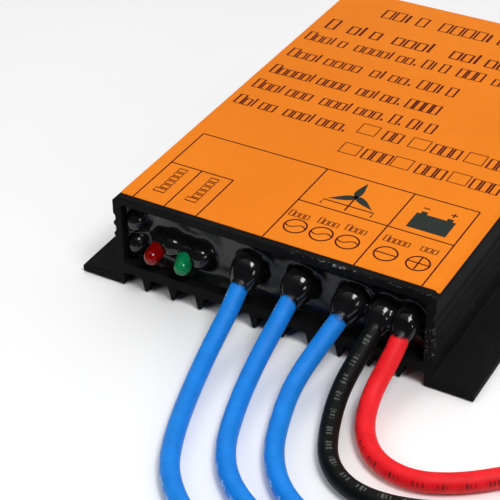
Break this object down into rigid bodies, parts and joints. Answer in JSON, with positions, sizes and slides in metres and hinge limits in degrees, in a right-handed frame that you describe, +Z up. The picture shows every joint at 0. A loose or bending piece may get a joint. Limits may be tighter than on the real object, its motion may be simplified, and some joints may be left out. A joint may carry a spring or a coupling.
{
  "type": "wind turbine charge controller",
  "caption": "Flat finned extruded case with flanges, its mouth potted in black resin around two status lamps and flying colour-coded power leads.",
  "frame": {"origin": "centre of the four mounting holes, on the plane the flanges and the fin tips stand on", "axes": "+Z up out of the labelled top, Y along the extrusion with the mouth and the leads at -Y, X across the flanges"},
  "size_m": [0.2486, 0.2395, 0.0312],
  "materials": {
    "case_black": "matt black anodised aluminium extrusion",
    "label_orange": "printed orange label film",
    "potting_black": "glossy black epoxy",
    "lamp_red": "red tinted lens",
    "lamp_green": "green tinted lens",
    "cable_blue": "satin blue cable sheath",
    "cable_black": "satin black cable sheath",
    "cable_red": "satin red cable sheath",
    "copper": "bare copper strands",
    "tinned_copper": "tinned copper",
    "board_green": "solder mask over glass-epoxy board",
    "chip_black": "moulded package",
    "steel": "plated steel",
    "aluminium": "plain",
    "pad_grey": "silicone pad",
    "ferrite_grey": "coated ferrite",
    "winding_copper": "enamelled copper wire",
    "brass": "plated brass"
  },
  "bodies": {
    "root": {"housing": "case_black", "label": "label_orange", "potting_compound": "potting_black", "circuit_board": "board_green", "board_standoffs": "brass", "board_screws": "steel", "thermal_pads": "pad_grey", "rectifier_diodes": "chip_black", "power_mosfets": "chip_black", "clamp_bars": "aluminium", "clamp_screws": "steel", "inductor_core": "ferrite_grey", "inductor_winding": "winding_copper", "output_capacitors": "aluminium", "input_capacitors": "aluminium", "shunt_resistor": "winding_copper", "controller_chip": "chip_black", "driver_chips": "chip_black", "red_lamp": "lamp_red", "green_lamp": "lamp_green", "red_lamp_legs": "tinned_copper", "green_lamp_legs": "tinned_copper", "lead_tails": "tinned_copper", "blue_lead_1": "cable_blue", "blue_lead_2": "cable_blue", "blue_lead_3": "cable_blue", "black_lead": "cable_black", "red_lead": "cable_red", "blue_lead_1_strands": "copper", "blue_lead_2_strands": "copper", "blue_lead_3_strands": "copper", "black_lead_strands": "copper", "red_lead_strands": "copper"}
  },
  "joints": []
}
